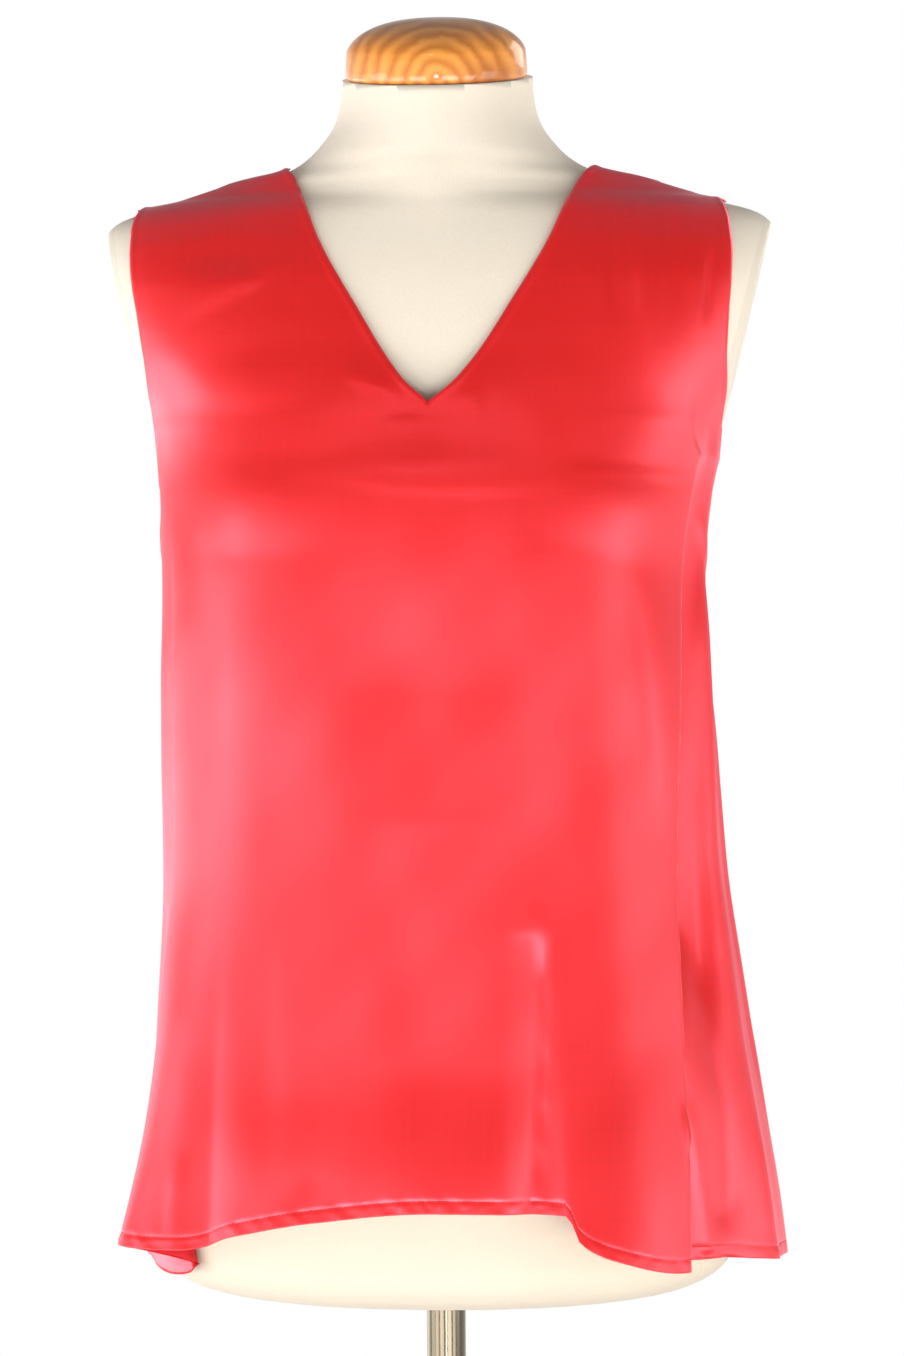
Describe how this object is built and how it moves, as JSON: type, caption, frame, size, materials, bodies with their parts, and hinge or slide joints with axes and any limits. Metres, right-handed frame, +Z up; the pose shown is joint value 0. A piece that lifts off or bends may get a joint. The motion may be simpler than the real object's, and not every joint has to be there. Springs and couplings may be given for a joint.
{
  "type": "sleeveless blouse on a dress form",
  "caption": "Sleeveless V-neck A-line blouse in satin, worn on a limbless dress form with a wood neck cap, steel pole and round base",
  "frame": {"origin": "on the floor, in the middle of the base's underside, under the pole", "axes": "+Z up, the blouse's front faces -Y, +X is the wearer's left"},
  "size_m": [0.4241, 0.34, 1.5044],
  "materials": {
    "satin": "red satin, soft sheen",
    "satin_turned": "turned-up satin hem",
    "form_cloth": "cream stretch cover",
    "plate_cloth": "cream covered plate",
    "varnished_wood": "glossy varnish",
    "polished_steel": "polished tube",
    "base_steel": "brushed"
  },
  "bodies": {
    "root": {"blouse_front": "satin", "blouse_back": "satin", "front_hem": "satin_turned", "back_hem": "satin_turned", "form_torso": "form_cloth", "arm_plate_left": "plate_cloth", "arm_plate_right": "plate_cloth", "neck_cap": "varnished_wood", "pole": "polished_steel", "base_plate": "base_steel"}
  },
  "joints": []
}
